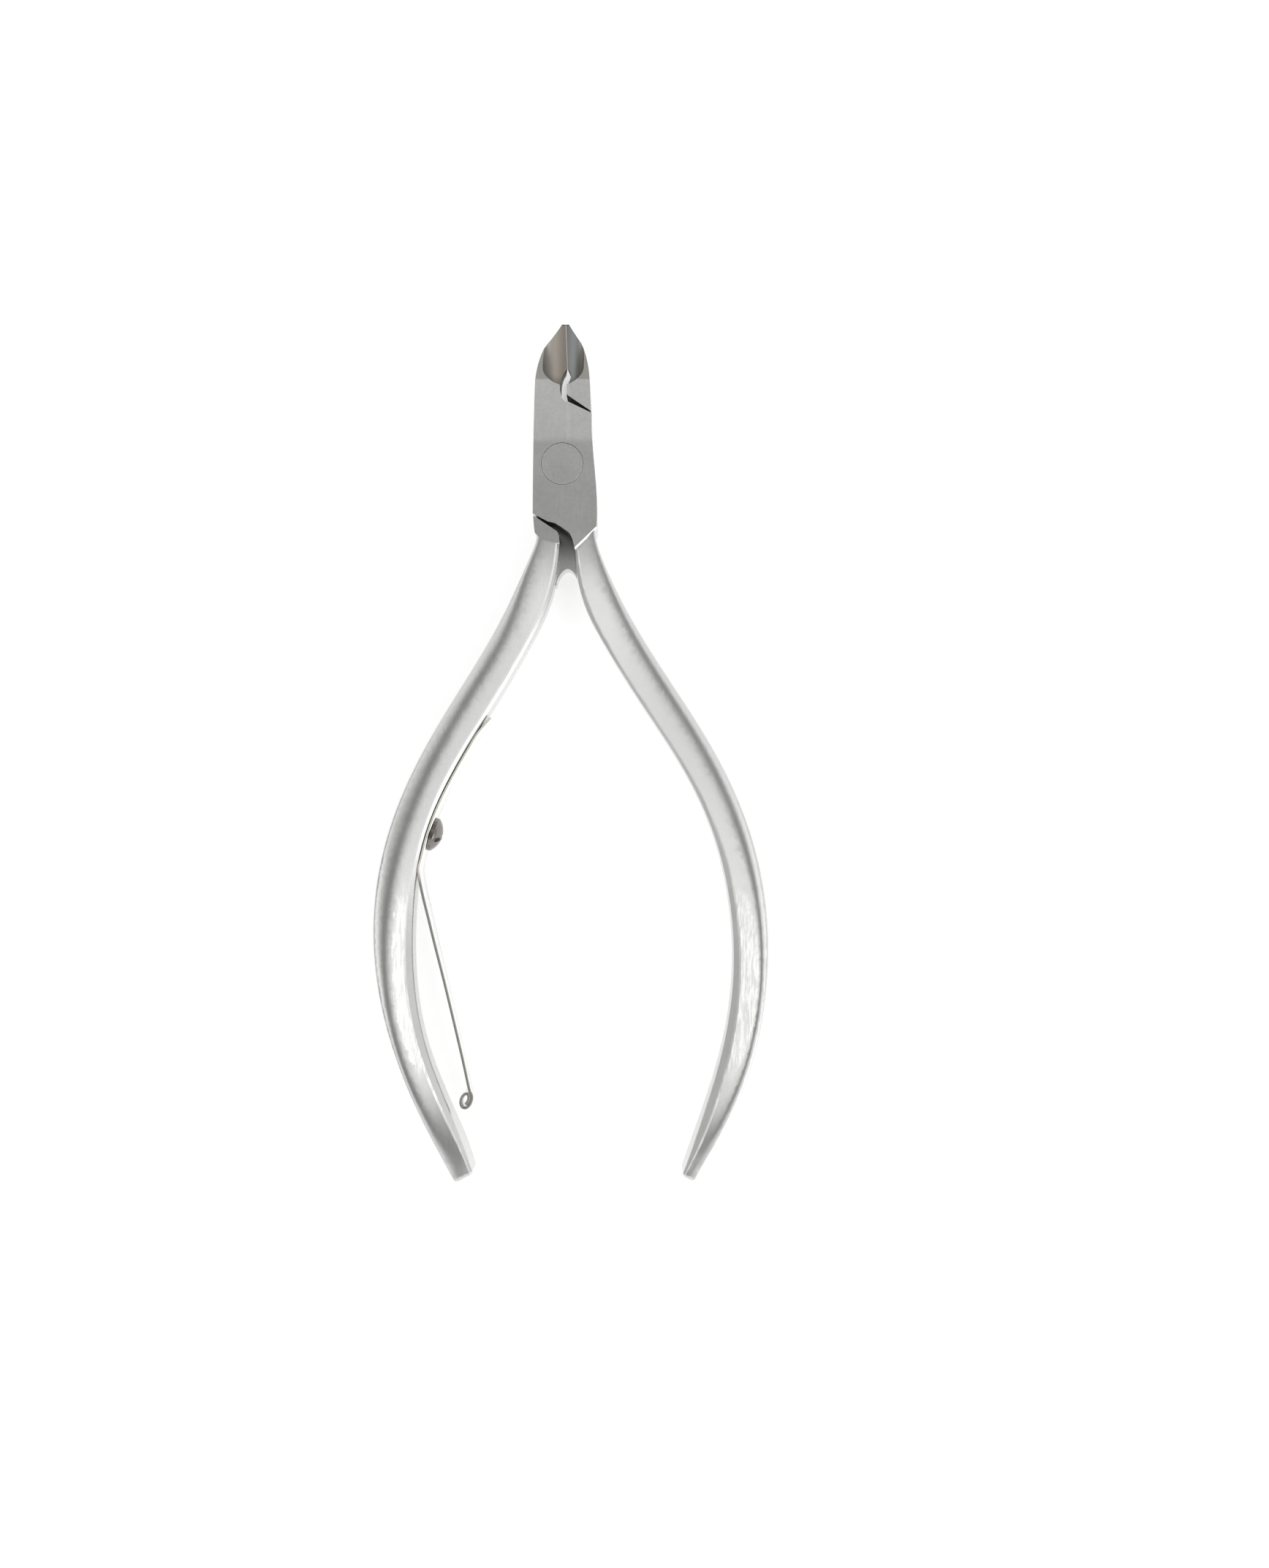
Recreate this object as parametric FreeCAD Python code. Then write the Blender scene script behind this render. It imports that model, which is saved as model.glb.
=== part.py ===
"""Cuticle nipper, about 105 mm long, lying flat with its jaws closed.

Frame: millimetres, +Z up. The origin is on the pivot axis, on the flat underside of the head.
The cutting tip points along +Y and the handles run back along -Y. One half of the tool is called
the left lever (left handle, right blade, lower lap of the joint) and the other the right lever
(right handle, left blade, upper lap of the joint). The two halves are near twins: most outlines
are written for the right lever, as distances u from the head's centre line, and the left lever
uses them with u reversed.
"""

import FreeCAD, Part
import math
import os

from FreeCAD import Vector

os.makedirs("parts", exist_ok=True)

# ---------------------------------------------------------------- driving dimensions
THICK = 6.2                 # head, measured along the pivot axis
MID_Z = THICK / 2           # plane where the two laps meet
LAP_CLEARANCE = 0.02        # each lap stands this far off the middle plane
AXIS_X = 0.2                # the head and the cutting line are centred this far beside the pivot
BLADE_GAP = 0.012           # half the gap left between the closed cutting edges
BEYOND = 2.0                # how far cutting shapes reach past the metal they cut

# Outlines of the head, right lever, as (u, y).
LEFT_BLADE_SIDE = [(-3.75, -6.0), (-3.7, 0.0), (-3.53, 8.0), (-3.28, 11.6), (-2.96, 13.1), (-2.05, 15.4)]
RIGHT_BLADE_SIDE = [(-3.5, -6.0), (-3.45, 0.0), (-3.2, 8.0), (-2.97, 11.6), (-2.69, 13.1), (-1.97, 15.4)]
TIP_Y = 18.05               # end of the jaws
TIP_HALF_WIDTH = 0.43
EDGE_END_Y = 12.4           # the cutting edges run from the tip to here
CUT_TIP_U = 0.05            # where the cutting line crosses the tip
CUT_END_U = 0.28            # and where it ends at the throat
LEFT_BLADE_THROAT = [(-0.45, 11.15), (-0.56, 10.0), (-0.48, 8.95), (-0.28, 8.1)]
RIGHT_BLADE_THROAT = [(-0.66, 11.25), (-0.36, 10.4), (-0.33, 9.3), (-0.3, 8.2)]
LAP_EDGE = [(0.15, 7.42), (0.57, 7.41), (3.13, 6.18), (3.35, 6.0)]
ROOT_SIDE = [(3.35, 6.0), (3.42, 2.7), (3.75, -1.0), (3.98, -4.6), (3.92, -7.85)]
ROOT_END = [(3.92, -7.85), (1.34, -10.33)]
CROTCH = [(1.34, -10.33), (1.01, -8.99), (0.68, -8.32), (-0.26, -7.65), (-1.08, -7.15), (-1.95, -6.94)]

# The left lever's root and the web that fills the crotch at the lower level.
LEFT_ROOT_SIDE = [(3.35, 6.0), (3.39, 2.7), (3.56, -1.0), (3.72, -4.6), (3.5, -8.3)]
LEFT_ROOT_END = [(3.5, -8.3), (2.95, -8.88), (2.08, -9.26), (1.2, -9.48), (0.55, -9.55)]
LEFT_CROTCH = [(0.55, -9.55), (-1.1, -9.55), (-1.1, -8.4), (-1.22, -7.85), (-1.95, -7.0)]
WEB_SIDES = [(1.05, -14.2), (2.6, -14.2), (2.2, -9.0), (-1.1, -9.0), (-1.4, -13.3)]
WEB_ARCH = [(-1.4, -13.3), (-1.05, -12.6), (-0.35, -12.2), (0.5, -12.75), (1.05, -14.2)]
WEB_LOW_Z = 0.2

# Where the other lever's lap turns: below this line at the jaws, beyond this line at the root.
JAW_BASE = [(-0.57, 8.14), (-3.2, 6.35)]
RIGHT_ROOT_LINE = [(3.75, -6.6), (1.6, -8.2), (1.23, -8.8), (1.23, -10.2)]
LEFT_SHOULDER = [(3.65, -6.28), (2.28, -7.17), (1.27, -7.85), (0.81, -8.18), (0.6, -8.66), (0.53, -9.4)]

# Grinding of the jaws.
BEVEL_START_Y = 10.1        # the front face starts to slope down here
TIP_TOP_Z = 2.5             # and would reach this height at the tip
BACK_RELIEF_START_Y = 8.6   # the back face starts to rise here
TIP_BOTTOM_Z = 1.55         # and reaches this height at the tip
EDGE_TIP_Z = 2.05           # height of the cutting edge at the tip
EDGE_END_Z = 2.6            # and at its inner end
SCOOP_RADIUS = 2.5          # hollow grinding above the cutting edges
SCOOP_U = -0.12
SCOOP_END_Y = 11.75
EDGE_RELIEF_DEG = 7.0       # each blade falls away below its edge by this angle
ROOT_CHAMFER = 0.22

RIVET_SHANK_R = 1.8
RIVET_HEAD_R = 2.5
RIVET_HEAD_DEPTH = 0.9
RIVET_EDGE = 0.05           # broken edge round the flush heads
RIVET_CLEARANCE = 0.03      # running clearance in the right lever

LEFT_SPLAY_DEG = 1.4        # the left handle is turned in by this much
# At these stations the left handle is moved inwards and widened on its inner side, by (move, extra).
LEFT_CHANGES = {
    0: (0.38, 0.05),
    1: (0.2, 0.22),
    2: (0.05, 0.15),
    3: (0.0, 0.05),
    8: (0.12, 0.33),
    9: (0.48, 0.15),
    10: (0.97, -0.2),
    11: (0.85, 0.4),
    12: (0.42, 0.83),
}

SPRING_THICK = 0.38
SPRING_WIDTH = 4.0          # where the screw holds it
SPRING_WIDTH_LINE = [(-48.0, 4.0), (-58.0, 3.1), (-72.0, 2.1), (-80.0, 2.0)]    # (y, width)
SPRING_SEAT_GAP = 0.05      # between the leaf and the handle
LEAF_TO_TOP = 16.1          # from the screw to the leaf's upper end
LEAF_TO_BEND = 4.9          # from the screw to where it leaves the handle
LEAF_KICK = 0.35            # the upper end stands this much further off the handle
LEAF_STEPS = 9              # points along the leaf that shape its curve
FLEX_GAP = 0.04             # between the clamped leaf and its free arm
ARM_LINE = [(-16.12, -55.5), (-14.2, -63.4), (-12.33, -71.5), (-11.5, -76.15)]
EYE_CENTRE = (-11.87, -76.97)
EYE_LONG_R = 1.35           # the rolled eye is an oval, longer along the arm
EYE_SHORT_R = 1.0
EYE_LEAN_DEG = 76.0         # direction of its long axis, from +X
EYE_HOLE_R = 0.42

SCREW_STATION = 7           # the spring screw is just above this handle station
SCREW_SHIFT = 1.3           # and this far along the handle from it, towards the head
SCREW_THREAD_R = 0.95
SCREW_CORE_R = 0.78
SCREW_PITCH = 0.4
SCREW_DEPTH = 2.4           # threaded length in the handle
SCREW_HEAD_R = 2.05
SCREW_HEAD_H = 1.3
SCREW_HEAD_LIFT = 0.085     # the flat head bears on the curved leaf, clear of it in the middle
SCREW_RIM_H = 0.4
SCREW_SLOT_W = 0.55
SCREW_SLOT_D = 0.6
HOLE_CLEARANCE = 0.04

# Handle stations, from the head to the end: centre x, centre y, width across, depth along Z.
HANDLE_STATIONS = [
    (2.72, -7.6, 2.55, 6.00),
    (3.00, -10.6, 3.00, 6.00),
    (3.52, -12.9, 3.65, 6.00),
    (4.60, -16.0, 4.25, 6.00),
    (6.65, -20.0, 4.40, 6.00),
    (10.78, -26.7, 4.45, 6.05),
    (16.45, -35.6, 4.35, 6.10),
    (20.50, -44.6, 4.32, 6.15),
    (22.44, -53.5, 4.33, 6.15),
    (22.62, -62.5, 4.13, 6.10),
    (21.12, -71.4, 3.87, 5.90),
    (18.10, -79.8, 2.95, 5.40),
    (15.37, -85.8, 1.75, 4.60),
]
# Hand finishing of each lever at those stations: width of the bevel along the inner edges, where
# the crest runs as a share of the width from outside, slope from the crest down to the bevel and
# down to the outer side in degrees, and the share of both facets that is flat, not rounded.
RIGHT_FINISH = [
    (0.25, 0.12, 8.0, 12.0, 0.50),
    (0.35, 0.12, 13.0, 13.0, 0.40),
    (0.45, 0.12, 16.0, 14.0, 0.30),
    (0.50, 0.15, 19.0, 14.0, 0.25),
    (0.45, 0.20, 20.0, 14.0, 0.30),
    (0.45, 0.24, 20.0, 14.0, 0.30),
    (0.50, 0.27, 20.0, 14.0, 0.30),
    (0.60, 0.28, 21.0, 14.0, 0.35),
    (0.75, 0.25, 24.0, 14.0, 0.60),
    (0.85, 0.20, 26.0, 13.0, 0.75),
    (1.00, 0.20, 25.0, 12.0, 0.70),
    (0.95, 0.27, 14.0, 10.0, 0.45),
    (0.30, 0.45, 3.0, 8.0, 0.30),
]
LEFT_FINISH = [
    (0.40, 0.15, 8.0, 10.0, 0.40),
    (0.40, 0.15, 13.0, 12.0, 0.30),
    (0.45, 0.15, 16.0, 12.0, 0.15),
    (0.50, 0.21, 18.0, 12.0, 0.15),
    (0.50, 0.32, 19.0, 11.0, 0.30),
    (0.50, 0.36, 20.0, 10.0, 0.30),
    (0.55, 0.42, 20.0, 9.0, 0.30),
    (0.45, 0.46, 21.0, 8.0, 0.25),
    (0.80, 0.41, 24.0, 8.0, 0.25),
    (0.95, 0.30, 25.0, 9.0, 0.30),
    (0.90, 0.20, 24.0, 10.0, 0.30),
    (0.70, 0.28, 12.0, 10.0, 0.30),
    (0.35, 0.50, 3.0, 8.0, 0.30),
]
BEVEL_DEG = 42.0            # slope of the bevel along the inner edges
CORNER = 0.14               # rounding where the inner facet meets the bevel
BEVEL_ROUND = 0.15          # share of the bevel taken up by the rounding at each of its edges
FOOT_ROUND = 0.12           # and its reach onto the flat inner face
END_ROUND = 0.55            # rounding of the handle's end


# ---------------------------------------------------------------- small helpers
def spline(points):
    curve = Part.BSplineCurve()
    curve.interpolate(Points=points)
    return curve.toShape()


def line(a, b):
    return Part.LineSegment(a, b).toShape()


def rounding(start, corner, end):
    """Smooth curve from start to end that is drawn towards the corner."""
    curve = Part.BezierCurve()
    curve.setPoles([start, corner, end])
    return curve.toShape()


def flat(points, side=1):
    """Points of the plan at z = 0, from (u, y) pairs; side -1 gives the left lever's twin."""
    return [Vector(AXIS_X + side * u, y, 0) for u, y in points]


def chain(points):
    """Straight edges from each point to the next."""
    return [line(a, b) for a, b in zip(points, points[1:])]


def slab(edges, low, high):
    """The area inside the edges, which lie at z = 0, between two heights."""
    face = Part.Face(Part.Wire(Part.__sortEdges__(edges)))
    return face.translated(Vector(0, 0, low)).extrude(Vector(0, 0, high - low))


def block(points, low, high):
    return slab(chain(points + points[:1]), low, high)


def across_x(points, half_width):
    """A prism along X, centred on the head, from (y, z) corners."""
    corners = [Vector(AXIS_X - half_width, y, z) for y, z in points]
    face = Part.Face(Part.Wire(chain(corners + corners[:1])))
    return face.extrude(Vector(2 * half_width, 0, 0))


def turned(profile):
    """A solid of revolution about Z from (radius, z) corners."""
    corners = [Vector(r, 0, z) for r, z in profile]
    face = Part.Face(Part.Wire(chain(corners + corners[:1])))
    return face.revolve(Vector(0, 0, 0), Vector(0, 0, 1), 360)


def one_solid(shape, name):
    shape = shape.removeSplitter()
    if len(shape.Solids) != 1 or not shape.Solids[0].isValid():
        raise RuntimeError(f"{name}: {len(shape.Solids)} solids, not one valid solid")
    return shape.Solids[0]


# ---------------------------------------------------------------- handles
def handle_centreline():
    return spline([Vector(x, y, MID_Z) for x, y, width, depth in HANDLE_STATIONS]).Curve


def station_frame(index):
    """Centre of a right-handle station and the unit direction towards its inner side."""
    x, y = HANDLE_STATIONS[index][:2]
    centre = Vector(x, y, MID_Z)
    curve = handle_centreline()
    along = curve.tangent(curve.parameter(centre))[0]
    along.normalize()
    return centre, Vector(along.y, -along.x, 0)


def handle_section(centre, inward, width, depth, finish, extra=0.0):
    """Closed wire of one cross-section: two facets that meet in a rounded crest on the top and the
    bottom, upright sides, and bevelled edges along the inner side."""
    bevel, crest_share, inner_deg, outer_deg, facet_flat = finish
    half = depth / 2
    crest = crest_share * width
    inner = width + extra
    ridge = inner - bevel
    fall = math.tan(math.radians(inner_deg))
    ridge_v = half - (ridge - crest) * fall
    eaves_v = half - crest * math.tan(math.radians(outer_deg))
    knee = ridge_v - bevel * math.tan(math.radians(BEVEL_DEG))

    def at(u, v):
        return centre + inward * (u - width / 2) + Vector(0, 0, v)

    def between(a, b, share):
        return a + (b - a) * share

    def roof(sign):
        """Control points of one side, from the bevel's ridge over the crest to the outer wall."""
        start_v = ridge_v + CORNER * fall
        pull = (1 - facet_flat) / 6
        top_v = (half - pull * (start_v + eaves_v)) / (1 - 2 * pull)
        start = at(ridge - CORNER, sign * start_v)
        top = at(crest, sign * top_v)
        eaves = at(0, sign * eaves_v)
        return [start, between(start, top, facet_flat / 2), between(start, top, facet_flat), top,
                between(eaves, top, facet_flat), eaves, at(0, sign * 0.7 * eaves_v)]

    upper = roof(1)
    lower = roof(-1)
    crown = Part.BSplineCurve()
    crown.buildFromPoles(upper + [at(0, 0)] + lower[::-1], False, 3)
    edges = [crown.toShape()]
    for sign, crown_end in ((1, upper[0]), (-1, lower[0])):
        bevel_top = at(ridge, sign * ridge_v)
        bevel_foot = at(inner, sign * knee)
        face_end = at(inner, sign * (knee - FOOT_ROUND))
        top_end = between(bevel_top, bevel_foot, BEVEL_ROUND)
        foot_end = between(bevel_foot, bevel_top, BEVEL_ROUND)
        edges.append(rounding(crown_end, bevel_top, top_end))
        edges.append(line(top_end, foot_end))
        edges.append(rounding(foot_end, bevel_foot, face_end))
    edges.append(line(at(inner, knee - FOOT_ROUND), at(inner, FOOT_ROUND - knee)))
    return Part.Wire(Part.__sortEdges__(edges))


def rounded_end(finish, move, extra):
    """Sections that close the handle's end with a quarter round on every side."""
    centre, inward = station_frame(len(HANDLE_STATIONS) - 1)
    along = Vector(-inward.y, inward.x, 0)
    centre += inward * move
    width, depth = HANDLE_STATIONS[-1][2:]
    wires = []
    for angle in (0, 25, 50, 70, 90):
        turn = math.radians(angle)
        shrink = 2 * END_ROUND * (1 - math.cos(turn))
        scaled = (finish[0] * (width - shrink) / width, *finish[1:])
        middle = centre + along * END_ROUND * math.sin(turn)
        wires.append(handle_section(middle, inward, width - shrink, depth - shrink, scaled, extra))
    return Part.makeLoft(wires, True, False)


def make_handle(finishes, changes):
    """A handle in the right one's place; changes gives the move and extra width of some stations."""
    wires = []
    for index, (station, finish) in enumerate(zip(HANDLE_STATIONS, finishes)):
        centre, inward = station_frame(index)
        move, extra = changes.get(index, (0.0, 0.0))
        wires.append(handle_section(centre + inward * move, inward, *station[2:], finish, extra))
    return Part.makeLoft(wires, True, False).fuse(rounded_end(finish, move, extra))


def to_left(shape):
    """Moves a right-handle shape to the left handle's place."""
    twin = shape.copy()
    twin.rotate(Vector(AXIS_X, 0, MID_Z), Vector(0, 1, 0), 180)
    twin.rotate(Vector(0, 0, 0), Vector(0, 0, 1), LEFT_SPLAY_DEG)
    return twin


def left_inner_point(index):
    """Point in the middle of the left handle's inner face at a station."""
    centre, inward = station_frame(index)
    move, extra = LEFT_CHANGES.get(index, (0.0, 0.0))
    reach = HANDLE_STATIONS[index][2] / 2 + move + extra
    return to_left(Part.Vertex(centre + inward * reach)).Point


# ---------------------------------------------------------------- head
def cut_line(side):
    """Both ends of one blade's closed edge, from the tip, in that lever's own (u, y)."""
    return [(side * CUT_TIP_U - BLADE_GAP, TIP_Y), (side * CUT_END_U - BLADE_GAP, EDGE_END_Y)]


def head_slab(side, blade_side, throat_wall, root_side, root_end, crotch):
    """One half of the head at full thickness, before the laps are cut."""
    blade = flat(blade_side, side)
    tip = flat([(-TIP_HALF_WIDTH, TIP_Y)] + cut_line(side), side)
    throat = tip[-1:] + flat(throat_wall + LAP_EDGE[:1], side)
    edges = [spline(blade)] + chain(blade[-1:] + tip) + [spline(throat)]
    edges += chain(flat(LAP_EDGE, side)) + [spline(flat(root_side, side))]
    edges += chain(flat(root_end, side)) + chain(flat(crotch, side) + blade[:1])
    return slab(edges, 0, THICK)


def chamfer_root(head):
    """Breaks both edges of the right lever's head where the flat grinding steps down to the handle."""
    a, b = flat(ROOT_END)
    middles = [(a + b) * 0.5 + Vector(0, 0, z) for z in (0, THICK)]
    edges = [edge for edge in head.Edges
             if min((edge.CenterOfMass - middle).Length for middle in middles) < 1e-3]
    return head.makeChamfer(ROOT_CHAMFER, edges)


def jaw_line(side):
    """Edge of the turning space at the jaws, carried on past both sides of the head."""
    near, far = JAW_BASE
    slope = (near[1] - far[1]) / (near[0] - far[0])
    outer = (-6.0, far[1] + slope * (-6.0 - far[0]))
    inner = (-0.2, near[1] + slope * (-0.2 - near[0]))
    return flat([outer, inner, (6.0, inner[1])], side)


def turning_space_right():
    """Room at the lower level for the left lever's lap, taken out of the right lever."""
    root = flat([(6.0, -4.93)] + RIGHT_ROOT_LINE + [(1.23, -14.0), (-6.0, -14.0)])
    return block(jaw_line(1) + root, -BEYOND, MID_Z + LAP_CLEARANCE)


def turning_space_left():
    """Room at the upper level for the right lever's lap, taken out of the left lever."""
    root = flat([(6.0, -4.75)] + LEFT_SHOULDER + [(0.53, -14.0), (-6.0, -14.0)], -1)
    return block(jaw_line(-1) + root, MID_Z - LAP_CLEARANCE, THICK + BEYOND)


def edge_height(y):
    share = (TIP_Y - y) / (TIP_Y - EDGE_END_Y)
    return EDGE_TIP_Z + share * (EDGE_END_Z - EDGE_TIP_Z)


def jaw_grinding():
    """Everything ground off the jaws: the front slope, the back relief and the hollow."""
    past = TIP_Y + BEYOND
    run = TIP_Y - BEVEL_START_Y
    front_z = THICK - (THICK - TIP_TOP_Z) * (past - BEVEL_START_Y) / run
    above = THICK + BEYOND
    front = across_x([(BEVEL_START_Y, THICK), (past, front_z), (past, above), (BEVEL_START_Y, above)], 6)
    start_y = BACK_RELIEF_START_Y
    back_z = TIP_BOTTOM_Z * (past - start_y) / (TIP_Y - start_y)
    back = across_x([(start_y, 0), (past, back_z), (past, -BEYOND), (start_y, -BEYOND)], 6)
    start = Vector(AXIS_X + SCOOP_U, SCOOP_END_Y, edge_height(SCOOP_END_Y) + SCOOP_RADIUS)
    reach = Vector(AXIS_X, past, edge_height(past) + SCOOP_RADIUS) - start
    scoop = Part.makeCylinder(SCOOP_RADIUS, reach.Length, start, reach)
    ball = Part.makeSphere(SCOOP_RADIUS, start)
    return [front, back, scoop.fuse(ball)]


def edge_relief(side):
    """Wedge under a cutting edge, so the closed blades touch only along their edges."""
    lean = math.tan(math.radians(EDGE_RELIEF_DEG))
    (tip_u, tip_y), (end_u, end_y) = cut_line(side)
    wires = []
    for y in (EDGE_END_Y - 0.6, TIP_Y + BEYOND):
        top = edge_height(y)
        edge_u = tip_u + (end_u - tip_u) * (y - tip_y) / (end_y - tip_y)
        corners = [(edge_u, top), (edge_u - lean * (top + 1), -1), (1.5, -1), (1.5, top)]
        points = [Vector(AXIS_X + side * u, y, z) for u, z in corners]
        wires.append(Part.Wire(chain(points + points[:1])))
    return Part.makeLoft(wires, True, True)


def rivet_space(clearance):
    """Bore and both countersinks for the rivet, opened out by a clearance."""
    head = RIVET_HEAD_R + clearance
    shank = RIVET_SHANK_R + clearance
    deep = RIVET_HEAD_DEPTH + clearance
    lip = RIVET_EDGE
    return turned([(0, -1), (head, -1), (head, lip), (shank, deep), (shank, THICK - deep),
                   (head, THICK - lip), (head, THICK + 1), (0, THICK + 1)])


def make_right_lever():
    head = head_slab(1, LEFT_BLADE_SIDE, LEFT_BLADE_THROAT, ROOT_SIDE, ROOT_END, CROTCH)
    lever = chamfer_root(head).fuse(make_handle(RIGHT_FINISH, {}))
    cuts = [turning_space_right(), edge_relief(1), rivet_space(RIVET_CLEARANCE)]
    return one_solid(lever.cut(cuts + jaw_grinding()), "right_lever")


def make_web():
    """Low web across the crotch that the right lever's root comes up against when closed."""
    edges = chain(flat(WEB_SIDES, -1)) + [spline(flat(WEB_ARCH, -1))]
    return slab(edges, WEB_LOW_Z, MID_Z - LAP_CLEARANCE)


def make_left_lever():
    outlines = (RIGHT_BLADE_SIDE, RIGHT_BLADE_THROAT, LEFT_ROOT_SIDE, LEFT_ROOT_END, LEFT_CROTCH)
    head = head_slab(-1, *outlines)
    lever = head.fuse([to_left(make_handle(LEFT_FINISH, LEFT_CHANGES)), make_web()])
    cuts = [turning_space_left(), edge_relief(-1), rivet_space(0), screw_hole()]
    return one_solid(lever.cut(cuts + jaw_grinding()), "left_lever")


# ---------------------------------------------------------------- rivet
def make_rivet():
    lip = RIVET_EDGE
    flush = RIVET_HEAD_R - lip
    profile = [(0, 0), (flush, 0), (RIVET_HEAD_R, lip), (RIVET_SHANK_R, RIVET_HEAD_DEPTH),
               (RIVET_SHANK_R, THICK - RIVET_HEAD_DEPTH), (RIVET_HEAD_R, THICK - lip),
               (flush, THICK), (0, THICK)]
    return one_solid(turned(profile), "pivot_rivet")


# ---------------------------------------------------------------- spring and its screw
def seat_line():
    """Curve along the left handle's inner face, and its parameter at the screw."""
    curve = spline([left_inner_point(index) for index in range(4, 11)]).Curve
    station_at = curve.parameter(left_inner_point(SCREW_STATION))
    return curve, curve.parameterAtDistance(-SCREW_SHIFT, station_at)


def seat_spot(distance):
    """Point on the inner face this far from the screw towards the handle's end, and its normal."""
    curve, screw_at = seat_line()
    at = curve.parameterAtDistance(distance, screw_at)
    along = curve.tangent(at)[0]
    along.normalize()
    return curve.value(at), Vector(-along.y, along.x, 0)


def along_screw(shape):
    """Places a shape made along +Z so that its origin is on the handle's inner face, heading out."""
    spot, outward = seat_spot(0)
    shape.Placement = FreeCAD.Placement(spot, FreeCAD.Rotation(Vector(0, 0, 1), outward))
    return shape


def screw_hole():
    bottom = -SCREW_DEPTH - 0.2
    return along_screw(Part.makeCylinder(SCREW_THREAD_R + HOLE_CLEARANCE, 1 - bottom, Vector(0, 0, bottom)))


def make_screw():
    """Slotted round-head screw; its thread is a row of rings one pitch apart."""
    seat = SPRING_SEAT_GAP + SPRING_THICK + SCREW_HEAD_LIFT
    top = seat + SCREW_HEAD_H
    profile = [(0, -SCREW_DEPTH), (SCREW_CORE_R - 0.2, -SCREW_DEPTH)]
    turns = int(SCREW_DEPTH / SCREW_PITCH)
    for turn in range(turns):
        z = -SCREW_DEPTH + 0.1 + turn * SCREW_PITCH
        profile += [(SCREW_CORE_R, z), (SCREW_THREAD_R, z + SCREW_PITCH / 2)]
    shank = turned(profile + [(SCREW_CORE_R, -0.02), (SCREW_CORE_R, seat), (0, seat)])
    head = Part.makeCylinder(SCREW_HEAD_R, SCREW_HEAD_H, Vector(0, 0, seat))
    drop = SCREW_HEAD_H - SCREW_RIM_H
    dome_r = (SCREW_HEAD_R ** 2 + drop ** 2) / (2 * drop)
    head = head.common(Part.makeSphere(dome_r, Vector(0, 0, top - dome_r)))
    slot = Part.makeBox(2 * SCREW_HEAD_R + 1, SCREW_SLOT_W, 1)
    slot.translate(Vector(-SCREW_HEAD_R - 0.5, -SCREW_SLOT_W / 2, top - SCREW_SLOT_D))
    return one_solid(along_screw(shank.fuse(head.cut(slot))), "spring_screw")


def strip(points, normals):
    """Plan outline of the leaf: SPRING_THICK wide, centred on the points."""
    half = SPRING_THICK / 2
    one = [p + n * half for p, n in zip(points, normals)]
    other = [p - n * half for p, n in zip(points, normals)]
    return [spline(one), spline(other), line(one[0], other[0]), line(one[-1], other[-1])]


def leaf_points():
    """Centre line of the clamped leaf, from its upper end to the bend, with its normals."""
    points = []
    normals = []
    for step in range(LEAF_STEPS + 1):
        spot, outward = seat_spot(-LEAF_TO_TOP + (LEAF_TO_TOP + LEAF_TO_BEND) * step / LEAF_STEPS)
        stand_off = SPRING_SEAT_GAP + SPRING_THICK / 2
        if step == 0:
            stand_off += LEAF_KICK
        points.append(spot + outward * stand_off)
        normals.append(outward)
    return points, normals


def make_leaf():
    points, normals = leaf_points()
    base = [Vector(p.x, p.y, 0) for p in points]
    leaf = slab(strip(base, normals), MID_Z - SPRING_WIDTH / 2, MID_Z + SPRING_WIDTH / 2)
    hole = along_screw(Part.makeCylinder(SCREW_THREAD_R + HOLE_CLEARANCE, 3, Vector(0, 0, -1)))
    return one_solid(leaf.cut(hole), "leaf_spring")


def make_arm():
    """Free arm of the leaf with the rolled eye at its end."""
    points, normals = leaf_points()
    across = normals[-1]
    along = Vector(across.y, -across.x, 0)
    start = Vector(points[-1].x, points[-1].y, 0) + along * FLEX_GAP
    line_points = [start] + [Vector(x, y, 0) for x, y in ARM_LINE]
    curve = spline(line_points).Curve
    arm_normals = []
    for point in line_points:
        tangent = curve.tangent(curve.parameter(point))[0]
        tangent.normalize()
        arm_normals.append(Vector(-tangent.y, tangent.x, 0))
    arm_normals[0] = across
    blank = slab(strip(line_points, arm_normals), 0, THICK)
    oval = Part.Ellipse(Vector(0, 0, 0), EYE_LONG_R, EYE_SHORT_R).toShape()
    oval.rotate(Vector(0, 0, 0), Vector(0, 0, 1), EYE_LEAN_DEG)
    spot = Vector(*EYE_CENTRE, 0)
    eye = slab([oval.translated(spot)], 0, THICK)
    hole = Part.makeCylinder(EYE_HOLE_R, THICK, spot)
    upper = [(y, MID_Z + width / 2) for y, width in SPRING_WIDTH_LINE]
    lower = [(y, MID_Z - width / 2) for y, width in SPRING_WIDTH_LINE]
    envelope = across_x(upper + lower[::-1], 30)
    return one_solid(blank.fuse(eye).cut(hole).common(envelope), "spring_arm")


# ---------------------------------------------------------------- output
def main():
    nodes = {
        "left_lever": make_left_lever(),
        "right_lever": make_right_lever(),
        "pivot_rivet": make_rivet(),
        "leaf_spring": make_leaf(),
        "spring_arm": make_arm(),
        "spring_screw": make_screw(),
    }
    for name, shape in nodes.items():
        shape.exportStep(f"parts/{name}.step")
        box = shape.BoundBox
        print(f"{name}: {shape.Volume:.2f} mm3, x {box.XMin:.2f}..{box.XMax:.2f}, "
              f"y {box.YMin:.2f}..{box.YMax:.2f}, z {box.ZMin:.3f}..{box.ZMax:.3f}")


main()
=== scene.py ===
"""Looks of the cuticle nipper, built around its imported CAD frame. Lengths are in metres."""

import math

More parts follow.
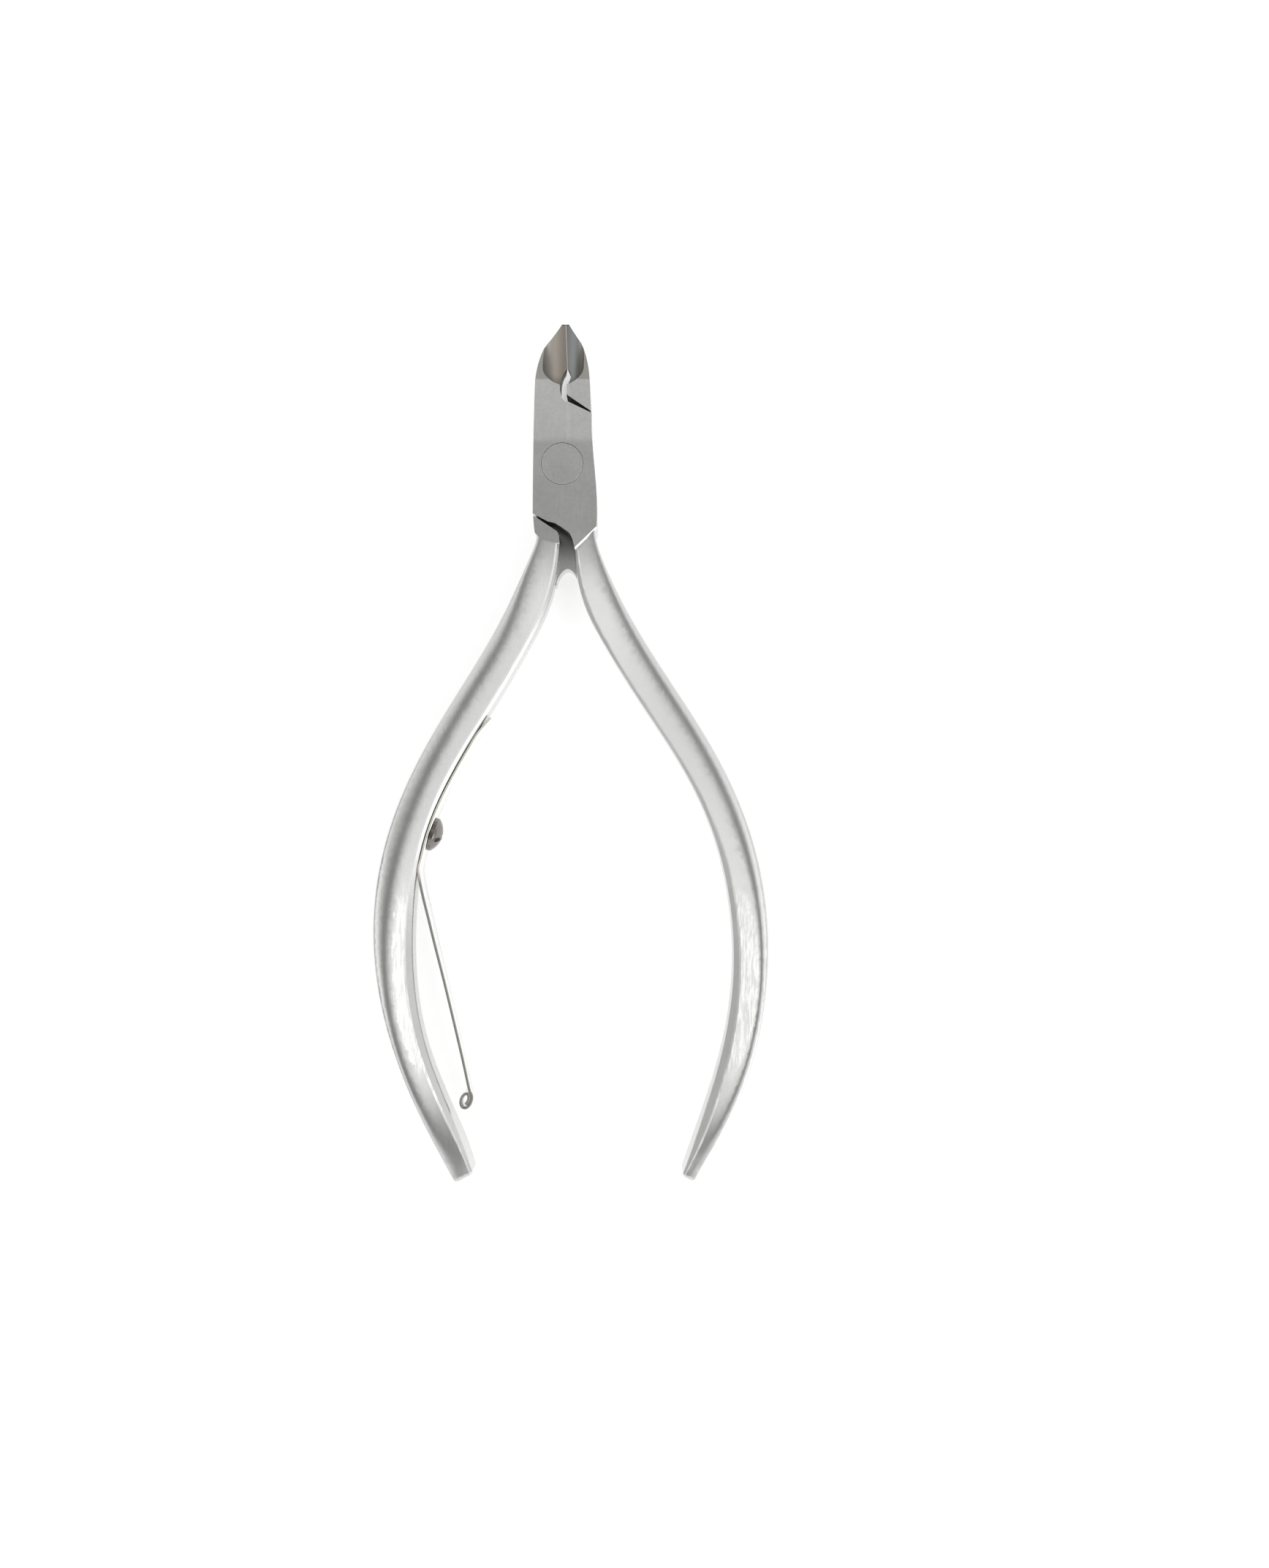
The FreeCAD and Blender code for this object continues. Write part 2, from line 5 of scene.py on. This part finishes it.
import bmesh
import bpy
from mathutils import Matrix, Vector


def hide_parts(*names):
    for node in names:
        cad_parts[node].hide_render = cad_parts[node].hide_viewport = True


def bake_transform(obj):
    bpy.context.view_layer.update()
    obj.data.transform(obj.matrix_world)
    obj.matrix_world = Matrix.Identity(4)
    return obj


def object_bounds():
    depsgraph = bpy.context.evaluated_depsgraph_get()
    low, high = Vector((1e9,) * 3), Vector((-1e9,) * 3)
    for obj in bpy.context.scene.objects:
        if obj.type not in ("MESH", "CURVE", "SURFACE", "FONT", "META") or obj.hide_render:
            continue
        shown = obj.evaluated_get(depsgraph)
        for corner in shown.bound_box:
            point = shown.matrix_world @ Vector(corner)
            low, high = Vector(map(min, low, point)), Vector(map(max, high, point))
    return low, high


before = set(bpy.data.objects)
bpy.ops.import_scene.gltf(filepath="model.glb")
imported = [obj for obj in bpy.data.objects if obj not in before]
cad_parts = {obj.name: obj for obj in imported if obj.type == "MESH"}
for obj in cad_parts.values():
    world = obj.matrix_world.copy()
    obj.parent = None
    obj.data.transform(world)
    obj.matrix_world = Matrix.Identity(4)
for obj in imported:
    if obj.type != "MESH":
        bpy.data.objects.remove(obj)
cad_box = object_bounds()

MM = 0.001

# ---------------------------------------------------------------- camera
CAMERA_AT = (8.69 * MM, -38.5 * MM, 171.5 * MM)     # straight above the handles
CAMERA_LENS = 31.6
SENSOR_WIDTH = 36.0

# ---------------------------------------------------------------- studio
FLOOR_SIZE = 3.0
FLOOR_COLOR = (0.90, 0.90, 0.90, 1)
FLOOR_GLOW = 0.48
# Sky brightness by angle from its dark pole, in degrees: dark over the camera, bright round it.
SKY_POLE = (-0.070, -0.070, 0.995)
SKY_STOPS = [(0, 0.27), (8, 0.29), (15, 0.35), (20, 0.43), (25, 0.54), (30, 0.70), (36, 0.91), (44, 1.02),
             (90, 1.00)]
# Wide soft patches that brighten or dim it: azimuth from +X, elevation, full within, gone beyond, gain.
SKY_PATCHES = [
    (185, 9, 24, 37, 0.48),
    (0, 6, 16, 30, 0.80),
    (-36, 7, 10, 24, 2.2),
    (0, 40, 8, 18, 1.35),
    (189, 40, 7, 18, 1.6),
    (-108, 66, 5, 15, 0.75),
    (90, 25, 20, 45, 0.45),
]

# ---------------------------------------------------------------- spring strip, millimetres
STRIP_THICK = 0.38
STRIP_CORNER = 0.16
SPRING_Z = 3.1
LEAF_LINE = [(-8.66, -30.53), (-10.2, -32.31), (-11.42, -34.3), (-12.59, -36.31), (-13.7, -38.35),
             (-14.73, -40.43), (-15.65, -42.56), (-16.41, -44.75), (-17.0, -46.99), (-17.42, -49.26)]
ARM_LINE = [(-16.12, -55.5), (-14.2, -63.4), (-12.33, -71.5), (-11.53, -75.2)]
STRIP_WIDTHS = [(-30.0, 4.0), (-48.0, 4.0), (-58.0, 3.1), (-72.0, 2.1), (-80.0, 2.0)]    # (y, width)
ROLL_CENTRE = (-11.87, -76.97)
ROLL_LONG_R = 1.35
ROLL_SHORT_R = 1.0
ROLL_LEAN = math.radians(76)
ROLL_START = math.radians(-20)      # where the arm runs into the roll
ROLL_TURNS = 1.35
ROLL_STEPS = 60
ROLL_PITCH = 1.06           # from one turn of the roll to the next, in strip thicknesses
STEP = 0.25                 # spacing of the strip's cross-sections
LEAST_STEP = 0.2            # and the least between the arm and the roll
SHARP_EDGE = math.radians(50)

# ---------------------------------------------------------------- steel surface
GRAIN_SCALE = 3.4           # features per millimetre
CLOUD_SCALE = 0.22
BRUSH_STRETCH = (5.0, 0.45, 1.6)    # brushed lines: fine across, long along
BRUSH_DEPTH = 0.0025        # millimetres
EDGE_RADIUS = 0.05          # rounding of every edge, millimetres
CLOUD_TONE = (0.95, 1.05)
BRUSH_TONE = (0.96, 1.04)
CLOUD_ROUGH = (-0.05, 0.05)
BRUSH_ROUGH = (-0.04, 0.04)
EDGE_TONE = (1.0, 1.06)     # edges are a little brighter

# ---------------------------------------------------------------- regions of the levers
# A pair is where a region begins and where it is full, in millimetres along Y unless it says otherwise.
# Two more numbers are the values on its two sides.
HEAD_Y = (-8.6, -8.2)               # flat ground face of the head
UPPER_Y = (2.3, 3.3)                # its part beyond the rivet, painted brighter as a reflection
JAWS_Y = (10.0, 10.3)               # front slope of the jaws
GROUND_UP = (0.10, 0.28)            # how far a ground face looks up
JAW_SLOPE = (0.0, 0.435, 0.900)     # direction the front slope of the jaws faces
HOLLOW_TURN = (0.992, 0.978)        # the hollow grind turns away from it by this cosine
CENTRE_X = 0.2                      # middle of the head
RIM_X = (1.5, 2.4)                  # outer border of the hollow grind, from the middle
WALL_Y = (-9.6, -9.0)               # upright inner walls of the joint, darkened with painted shade
WALL_UPRIGHT = (0.5, 0.2)
WALL_REACH = (8.0, 8.4, 3.2, 1.0)   # they lie this near the middle, less near in the jaws
WALL_SOFT = (-0.05, 0.05)
STREAK_X = 0.7                      # painted reflection: a bright streak along the upper head
REFLECTION_STREAK = (0.35, 0.1, 1.0, 1.07)
MOTTLE_SCALE = 2.2
MOTTLE = (0.87, 1.13)
WEAR_SHEEN_FROM_Y = (-49.0, -55.0)        # steep lower facets: a painted highlight, broken up by scratch wear
WEAR_SHEEN_TO_Y = (-81.0, -76.0)
WEAR_SHEEN_LEAN_FROM = (0.385, 0.43)      # how far those facets lean to the side
WEAR_SHEEN_LEAN_TO = (0.60, 0.50)
SCRATCH_TURN = -40
SCRATCH_STRETCH = (4.0, 0.5, 1.0)
SCRATCHES = (0.40, 0.60, 0.10, 1.0)
WEB_Z = (2.0, 2.5)                  # painted shade on the web under the crotch of the handles
WEB_TOP_Z = (3.3, 3.1)
WEB_SHADE_Y = (-12.5, -8.8, 0.0, 0.65)
WEB_END_Y = (-7.0, -7.6)
WEB_UP = (0.5, 0.8)
TIP_SHADE_Y = (17.86, 17.95, 0.0, 0.7)      # painted shade on the blunt end of the jaws
HEAD_SMOOTHER = 0.9
JAWS_ROUGHER = 0.1
WALL_ROUGHER = 0.25

PLATE_COLOR = (0.70, 0.70, 0.69)
# the head's part beyond the rivet, painted brighter as a reflection
UPPER_REFLECTION_COLOR = (0.86, 0.86, 0.85)
JAW_COLOR = (0.58, 0.565, 0.525)
RIM_COLOR = (0.62, 0.60, 0.57)
# painted dark reflection in the hollow grinds of the jaws, warmer on the right lever, fading to RIM_COLOR at
# their outer border
LEFT_HOLLOW_REFLECTION = (0.27, 0.28, 0.275)   # on the left lever, which crosses over to the right blade
RIGHT_HOLLOW_REFLECTION = (0.37, 0.335, 0.295)
# painted shade on the upright inner walls of the joint
WALL_SHADE_COLOR = (0.22, 0.215, 0.21)
# painted highlight of the steep grip facets, with their scratch wear
WORN_HIGHLIGHT_COLOR = (0.97, 0.97, 0.95)

# ---------------------------------------------------------------- regions of the spring
EDGE_FACING = (0.4, 0.7)            # the cut edges look up or down by this much
BEND_Y = (-51.0, -48.5)
# painted shade on the arm's edges beyond the bend, painted light on the leaf's edges, both in the tempered
# steel's warm tint
ARM_EDGE_PAINTED_SHADE = (0.34, 0.33, 0.31)
LEAF_EDGE_PAINTED_LIGHT = (0.95, 0.93, 0.84)


class Wiring:
    """Short calls that add nodes to one material or world."""

    def __init__(self, owner):
        owner.use_nodes = True
        self.tree = owner.node_tree

    def put(self, value, socket):
        if isinstance(value, bpy.types.NodeSocket):
            self.tree.links.new(value, socket)
        else:
            socket.default_value = value

    def node(self, kind, inputs=(), **settings):
        new = self.tree.nodes.new("ShaderNode" + kind)
        for key, value in settings.items():
            setattr(new, key, value)
        for key, value in dict(inputs).items():
            self.put(value, new.inputs[key])
        return new

    def math(self, operation, *values):
        new = self.node("Math", operation=operation)
        for socket, value in zip(new.inputs, values):
            self.put(value, socket)
        return new.outputs[0]

    def times(self, first, *others):
        for other in others:
            first = self.math("MULTIPLY", first, other)
        return first

    def plus(self, first, second):
        return self.math("ADD", first, second)

    def distance(self, value, middle):
        return self.math("ABSOLUTE", self.math("SUBTRACT", value, middle))

    def dot(self, vector, direction):
        new = self.node("VectorMath", operation="DOT_PRODUCT")
        self.put(vector, new.inputs[0])
        self.put(direction, new.inputs[1])
        return new.outputs["Value"]

    def ease(self, value, low, high, low_out=0.0, high_out=1.0):
        """Smooth step of value from low to high."""
        new = self.node("MapRange", {"Value": value, "From Min": low, "From Max": high,
                                     "To Min": low_out, "To Max": high_out}, interpolation_type="SMOOTHSTEP")
        return new.outputs["Result"]

    def span(self, value, low, high):
        """Plain rescaling of a 0 to 1 value to low to high."""
        return self.node("MapRange", {"Value": value, "To Min": low, "To Max": high}).outputs["Result"]

    def noise(self, coords, scale, detail, rough, distortion=0.0):
        """Cloudy noise, about 0 to 1, at this many features per millimetre."""
        new = self.node("TexNoise", {"Vector": coords, "Scale": scale, "Detail": detail,
                                     "Roughness": rough, "Distortion": distortion})
        return new.outputs["Fac"]

    def color(self, rgb):
        return self.node("CombineColor", dict(zip(("Red", "Green", "Blue"), rgb))).outputs[0]

    def mix(self, factor, a, b):
        new = self.node("Mix", data_type="RGBA")
        self.put(factor, new.inputs[0])
        self.put(a, new.inputs[6])
        self.put(b, new.inputs[7])
        return new.outputs[2]

    def scale_color(self, color, factor):
        new = self.node("VectorMath", operation="SCALE")
        self.put(color, new.inputs[0])
        self.put(factor, new.inputs["Scale"])
        return new.outputs[0]

    def millimetres(self):
        """Position in the object's own frame, in millimetres."""
        coords = self.node("TexCoord").outputs["Object"]
        return self.scale_color(coords, 1 / MM)

    def turned(self, coords, degrees, scale):
        """Coordinates turned about Z and stretched, for brushed lines."""
        new = self.node("Mapping", vector_type="POINT")
        self.put(coords, new.inputs["Vector"])
        new.inputs["Rotation"].default_value = (0, 0, math.radians(degrees))
        new.inputs["Scale"].default_value = scale
        return new.outputs[0]


# ---------------------------------------------------------------- camera, floor and light
def make_camera():
    data = bpy.data.cameras.new("photo_camera")
    data.lens = CAMERA_LENS
    data.sensor_width = SENSOR_WIDTH
    data.clip_start = 0.01
    data.clip_end = 10.0
    camera = bpy.data.objects.new("photo_camera", data)
    camera.location = CAMERA_AT
    bpy.context.scene.collection.objects.link(camera)
    bpy.context.scene.camera = camera


def make_floor():
    bpy.ops.mesh.primitive_plane_add(size=FLOOR_SIZE, location=(0, 0, cad_box[0][2] - 0.02 * MM))
    floor = bpy.context.object
    floor.name = "studio_floor"
    material = bpy.data.materials.new("floor_white")
    wiring = Wiring(material)
    shader = wiring.tree.nodes["Principled BSDF"]
    shader.inputs["Base Color"].default_value = FLOOR_COLOR
    shader.inputs["Roughness"].default_value = 0.9
    shader.inputs["Specular IOR Level"].default_value = 0.1
    shader.inputs["Emission Color"].default_value = (1, 1, 1, 1)
    shader.inputs["Emission Strength"].default_value = FLOOR_GLOW
    floor.data.materials.append(material)


def make_sky():
    """Soft box light from every side, dimmer straight overhead where the camera looks down from."""
    world = bpy.data.worlds.new("studio")
    bpy.context.scene.world = world
    wiring = Wiring(world)
    direction = wiring.node("TexCoord").outputs["Generated"]
    overhead = wiring.math("ARCCOSINE", wiring.dot(direction, SKY_POLE))
    ramp = wiring.node("ValToRGB", {"Fac": wiring.math("DIVIDE", overhead, math.pi / 2)})
    ramp.color_ramp.interpolation = "LINEAR"
    while len(ramp.color_ramp.elements) < len(SKY_STOPS):
        ramp.color_ramp.elements.new(0.5)
    for element, (degrees, level) in zip(ramp.color_ramp.elements, SKY_STOPS):
        element.position = degrees / 90
        element.color = (level, level, level, 1)
    strength = 1.0
    for azimuth, elevation, full, gone, gain in SKY_PATCHES:
        turn, lift = math.radians(azimuth), math.radians(elevation)
        towards = (math.cos(turn) * math.cos(lift), math.sin(turn) * math.cos(lift), math.sin(lift))
        nearness = wiring.dot(direction, towards)
        limits = math.cos(math.radians(gone)), math.cos(math.radians(full))
        strength = wiring.times(strength, wiring.ease(nearness, *limits, 1.0, gain))
    background = wiring.tree.nodes["Background"]
    wiring.put(ramp.outputs["Color"], background.inputs["Color"])
    wiring.put(strength, background.inputs["Strength"])


# ---------------------------------------------------------------- materials
def steel(name, color, roughness, brush, grain=0.05, regions=None):
    """Stainless steel with fine grain, brushed lines, cloudy wear and lightly rounded edges.
    brush is the direction of the lines in degrees. regions(wiring, place, color, roughness)
    may change the colour and roughness by place."""
    material = bpy.data.materials.new(name)
    wiring = Wiring(material)
    shader = wiring.tree.nodes["Principled BSDF"]
    place = wiring.millimetres()
    speckle = wiring.noise(place, GRAIN_SCALE, 3.0, 0.6)
    clouds = wiring.noise(place, CLOUD_SCALE, 3.0, 0.55, 0.6)
    lines = wiring.noise(wiring.turned(place, brush, BRUSH_STRETCH), 1.0, 4.0, 0.65)
    tone = wiring.times(wiring.span(speckle, 1 - grain, 1 + grain),
                        wiring.span(clouds, *CLOUD_TONE), wiring.span(lines, *BRUSH_TONE))
    rough = wiring.plus(roughness, wiring.span(clouds, *CLOUD_ROUGH))
    rough = wiring.plus(rough, wiring.span(lines, *BRUSH_ROUGH))
    base = wiring.color(color)
    if regions:
        base, rough = regions(wiring, place, base, rough)
    soft = wiring.node("Bevel", {"Radius": EDGE_RADIUS * MM}, samples=4).outputs[0]
    edge = wiring.dot(soft, wiring.node("NewGeometry").outputs["Normal"])
    tone = wiring.times(tone, wiring.span(wiring.ease(edge, 0.99, 0.90), *EDGE_TONE))
    bump = wiring.node("Bump", {"Height": wiring.plus(lines, wiring.times(speckle, 0.5)),
                                "Distance": BRUSH_DEPTH * MM, "Strength": 1.0, "Normal": soft})
    wiring.put(wiring.scale_color(base, tone), shader.inputs["Base Color"])
    wiring.put(rough, shader.inputs["Roughness"])
    wiring.put(bump.outputs[0], shader.inputs["Normal"])
    shader.inputs["Metallic"].default_value = 1.0
    return material


def plate_color(wiring, place, x, upper):
    """Colour of the head's flat face, mottled by the grinding, with painted reflection: a bright streak and
    a brighter part beyond the rivet.
    """
    # the part beyond the rivet and the streak are painted reflection; the mottle is the grinding's own
    plate = wiring.mix(upper, wiring.color(PLATE_COLOR), wiring.color(UPPER_REFLECTION_COLOR))
    mottle = wiring.span(wiring.noise(place, MOTTLE_SCALE, 4.0, 0.7), *MOTTLE)
    streak = wiring.mix(upper, (1, 1, 1, 1), wiring.ease(wiring.distance(x, STREAK_X), *REFLECTION_STREAK))
    return wiring.scale_color(plate, wiring.times(mottle, streak))


def wear_and_painted_highlight(wiring, place, y, facing):
    """Where and how far the grips get a painted highlight on their steep facets, broken up by scratch wear.
    """
    lean = wiring.math("ABSOLUTE", wiring.dot(facing, (1, 0, 0)))
    scratches = wiring.noise(wiring.turned(place, SCRATCH_TURN, SCRATCH_STRETCH), 1.0, 5.0, 0.7)
    return wiring.times(wiring.ease(lean, *WEAR_SHEEN_LEAN_FROM), wiring.ease(lean, *WEAR_SHEEN_LEAN_TO),
                        wiring.ease(y, *WEAR_SHEEN_FROM_Y), wiring.ease(y, *WEAR_SHEEN_TO_Y),
                        wiring.ease(scratches, *SCRATCHES))


def painted_shade_amount(wiring, y, z, up):
    """How much painted shade darkens the web under the crotch and the blunt end of the jaws."""
    web = wiring.times(wiring.ease(z, *WEB_Z), wiring.ease(z, *WEB_TOP_Z), wiring.ease(y, *WEB_SHADE_Y),
                       wiring.ease(y, *WEB_END_Y), wiring.ease(up, *WEB_UP))
    return wiring.math("MAXIMUM", web, wiring.ease(y, *TIP_SHADE_Y))


def ground_head(hollow_reflection):
    """Regions of a lever: satin handle with a painted highlight on its worn grip facets, flat ground head
    with painted reflections, inner walls, web and jaw tip darkened with painted shade, and hollow-ground
    jaws with painted dark reflection in the hollows.
    """
    def regions(wiring, place, color, roughness):
        split = wiring.node("SeparateXYZ", {"Vector": place})
        x, y, z = (split.outputs[axis] for axis in "XYZ")
        facing = wiring.node("TexCoord").outputs["Normal"]
        up = wiring.dot(facing, (0, 0, 1))
        beside = wiring.distance(x, CENTRE_X)
        sloped = wiring.ease(up, *GROUND_UP)
        head = wiring.times(wiring.ease(y, *HEAD_Y), sloped)
        jaws = wiring.times(wiring.ease(y, *JAWS_Y), sloped)
        hollow = wiring.ease(wiring.dot(facing, JAW_SLOPE), *HOLLOW_TURN)
        inside = wiring.math("SUBTRACT", wiring.ease(y, *WALL_REACH), beside)
        wall = wiring.times(wiring.ease(y, *WALL_Y), wiring.ease(wiring.math("ABSOLUTE", up), *WALL_UPRIGHT),
                            wiring.ease(inside, *WALL_SOFT))
        plate = plate_color(wiring, place, x, wiring.ease(y, *UPPER_Y))
        # painted dark reflection in the hollow grind, fading towards its rim
        bowl = wiring.mix(wiring.ease(beside, *RIM_X), wiring.color(hollow_reflection), wiring.color(RIM_COLOR))
        ground = wiring.mix(hollow, wiring.color(JAW_COLOR), bowl)
        # painted highlight on the steep grip facets, broken up by scratch wear
        color = wiring.mix(wear_and_painted_highlight(wiring, place, y, facing), color, wiring.color(WORN_HIGHLIGHT_COLOR))
        color = wiring.mix(head, color, plate)
        color = wiring.mix(jaws, color, ground)
        # painted shade on the upright inner walls; their added roughness is the unpolished finish
        color = wiring.mix(wall, color, wiring.color(WALL_SHADE_COLOR))
        # painted shade on the web under the crotch and the jaws' blunt end
        light = wiring.math("SUBTRACT", 1.0, painted_shade_amount(wiring, y, z, up))
        roughness = wiring.times(roughness, wiring.span(head, 1.0, HEAD_SMOOTHER))
        roughness = wiring.plus(roughness, wiring.times(jaws, JAWS_ROUGHER))
        roughness = wiring.plus(roughness, wiring.times(wall, WALL_ROUGHER))
        return wiring.scale_color(color, light), roughness
    return regions


def tempered_painted_edges(wiring, place, color, roughness):
    """Regions of the spring: polished faces; cut edges in a warm temper tint, painted lighter along the leaf
    and painted darker beyond the bend, as light and shade.
    """
    y = wiring.node("SeparateXYZ", {"Vector": place}).outputs["Y"]
    facing = wiring.node("TexCoord").outputs["Normal"]
    edge = wiring.ease(wiring.math("ABSOLUTE", wiring.dot(facing, (0, 0, 1))), *EDGE_FACING)
    edge_color = wiring.mix(wiring.ease(y, *BEND_Y), wiring.color(ARM_EDGE_PAINTED_SHADE),
                            wiring.color(LEAF_EDGE_PAINTED_LIGHT))
    return wiring.mix(edge, color, edge_color), roughness


def paint(node, material):
    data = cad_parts[node].data
    data.materials.clear()
    data.materials.append(material)


# ---------------------------------------------------------------- spring
def smooth_line(points):
    """Points STEP apart along a smooth curve through the given ones."""
    data = bpy.data.curves.new("route", "CURVE")
    data.dimensions = "3D"
    spline = data.splines.new("BEZIER")
    spline.bezier_points.add(len(points) - 1)
    for index, (knot, (x, y)) in enumerate(zip(spline.bezier_points, points)):
        before = Vector(points[max(index - 1, 0)])
        after = Vector(points[min(index + 1, len(points) - 1)])
        here = Vector((x, y))
        along = (after - before).normalized()
        knot.co = (x, y, 0)
        back = (here - before).length / 3
        ahead = (after - here).length / 3
        knot.handle_left = (*(here - along * back), 0)
        knot.handle_right = (*(here + along * ahead), 0)
    length = sum((Vector(a) - Vector(b)).length for a, b in zip(points, points[1:]))
    data.resolution_u = max(4, round(length / (len(points) - 1) / STEP))
    carrier = bpy.data.objects.new("route", data)
    mesh = bpy.data.meshes.new_from_object(carrier)
    line = [vertex.co.copy() for vertex in mesh.vertices]
    bpy.data.objects.remove(carrier)
    bpy.data.meshes.remove(mesh)
    bpy.data.curves.remove(data)
    return line


def width_at(y):
    for (y0, w0), (y1, w1) in zip(STRIP_WIDTHS, STRIP_WIDTHS[1:]):
        if y >= y1:
            return w0 + (w1 - w0) * min(max((y - y0) / (y1 - y0), 0), 1)
    return STRIP_WIDTHS[-1][1]


def rolled_end(start):
    """The strip's end from the neck round the rolled eye, winding inwards."""
    centre = Vector((*ROLL_CENTRE, 0))
    long_axis = Vector((math.cos(ROLL_LEAN), math.sin(ROLL_LEAN), 0))
    short_axis = Vector((-long_axis.y, long_axis.x, 0))
    points = []
    for step in range(ROLL_STEPS + 1):
        turn = 2 * math.pi * ROLL_TURNS * step / ROLL_STEPS
        inset = STRIP_THICK * (0.5 + ROLL_PITCH * turn / (2 * math.pi))
        angle = ROLL_START - turn
        points.append(centre + long_axis * math.cos(angle) * (ROLL_LONG_R - inset)
                      + short_axis * math.sin(angle) * (ROLL_SHORT_R - inset))
    return [point for point in points if (point - start).length > LEAST_STEP]


def strip_section(width):
    """Rounded rectangle across the strip, as (across, up) corners."""
    half_t = STRIP_THICK / 2 - STRIP_CORNER
    half_w = width / 2 - STRIP_CORNER
    corners = []
    for quarter, (sign_t, sign_w) in enumerate(((1, 1), (-1, 1), (-1, -1), (1, -1))):
        for part in (0, 45, 90):
            angle = math.radians(90 * quarter + part)
            corners.append((sign_t * half_t + STRIP_CORNER * math.cos(angle),
                            sign_w * half_w + STRIP_CORNER * math.sin(angle)))
    return corners


def make_spring(material):
    """One tempered strip: clamped leaf, bend, free arm and rolled eye."""
    line = smooth_line(LEAF_LINE + ARM_LINE)
    line += rolled_end(line[-1])
    mesh = bmesh.new()
    rings = []
    for index, point in enumerate(line):
        along = line[min(index + 1, len(line) - 1)] - line[max(index - 1, 0)]
        across = Vector((-along.y, along.x, 0)).normalized()
        rings.append([mesh.verts.new((point + across * t + Vector((0, 0, SPRING_Z + w))) * MM)
                      for t, w in strip_section(width_at(point.y))])
    for one, other in zip(rings, rings[1:]):
        for index in range(len(one)):
            after = (index + 1) % len(one)
            mesh.faces.new((one[index], one[after], other[after], other[index]))
    mesh.faces.new(rings[0][::-1])
    mesh.faces.new(rings[-1])
    bmesh.ops.recalc_face_normals(mesh, faces=mesh.faces)
    data = bpy.data.meshes.new("spring_strip")
    mesh.to_mesh(data)
    mesh.free()
    data.shade_smooth()
    data.set_sharp_from_angle(angle=SHARP_EDGE)
    data.materials.append(material)
    strip = bpy.data.objects.new("spring_strip", data)
    bpy.context.scene.collection.objects.link(strip)
    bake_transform(strip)
    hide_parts("leaf_spring", "spring_arm")


# ---------------------------------------------------------------- the scene
make_camera()
make_floor()
make_sky()
paint("left_lever", steel("left_steel", (0.68, 0.68, 0.672), 0.26, 25, regions=ground_head(LEFT_HOLLOW_REFLECTION)))
paint("right_lever", steel("right_steel", (0.70, 0.70, 0.692), 0.30, -25, regions=ground_head(RIGHT_HOLLOW_REFLECTION)))
paint("pivot_rivet", steel("rivet_steel", (0.76, 0.76, 0.75), 0.23, 60, grain=0.14))
paint("spring_screw", steel("screw_steel", (0.24, 0.225, 0.21), 0.18, 70))
make_spring(steel("spring_steel", (0.88, 0.88, 0.87), 0.27, 15, regions=tempered_painted_edges))
bpy.context.scene.view_settings.view_transform = "Standard"
